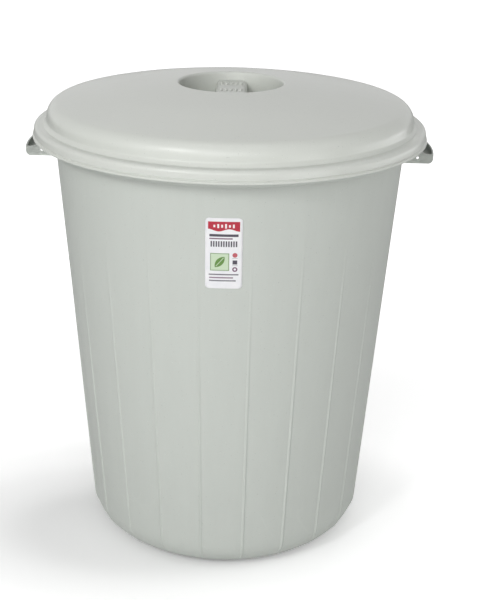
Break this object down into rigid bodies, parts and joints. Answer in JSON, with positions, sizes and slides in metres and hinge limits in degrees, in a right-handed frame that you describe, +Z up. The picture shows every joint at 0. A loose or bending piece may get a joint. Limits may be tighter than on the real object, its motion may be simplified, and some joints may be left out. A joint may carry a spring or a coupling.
{
  "type": "trash can",
  "caption": "Round tapered plastic bin with faint upright ribs, a loop handle on each side, a label, and a domed lift-off lid with a grip bar in a round recess.",
  "frame": {"origin": "centre of the foot ring, on the floor the bin stands on", "axes": "+Z up along the tub's axis; +X towards one handle, so the handles lie on the X axis; -Y is the front, where the label is"},
  "size_m": [0.4664, 0.45, 0.544],
  "materials": {
    "tub_plastic": "satin",
    "lid_plastic": "satin",
    "label_film": "gloss"
  },
  "bodies": {
    "tub": {"tub_wall": "tub_plastic", "tub_base": "tub_plastic", "tub_rim": "tub_plastic", "handle_cheeks_left": "tub_plastic", "handle_cheeks_right": "tub_plastic", "handle_strap_left": "tub_plastic", "handle_strap_right": "tub_plastic", "label": "label_film"},
    "lid": {"lid_rim": "lid_plastic", "lid_dome": "lid_plastic", "lid_recess": "lid_plastic", "lid_grip": "lid_plastic"}
  },
  "joints": [
    {"name": "lid_lift", "type": "slide", "parent": "tub", "child": "lid", "axis": [0, 0, 1], "range_m": [0, 0.15]}
  ]
}
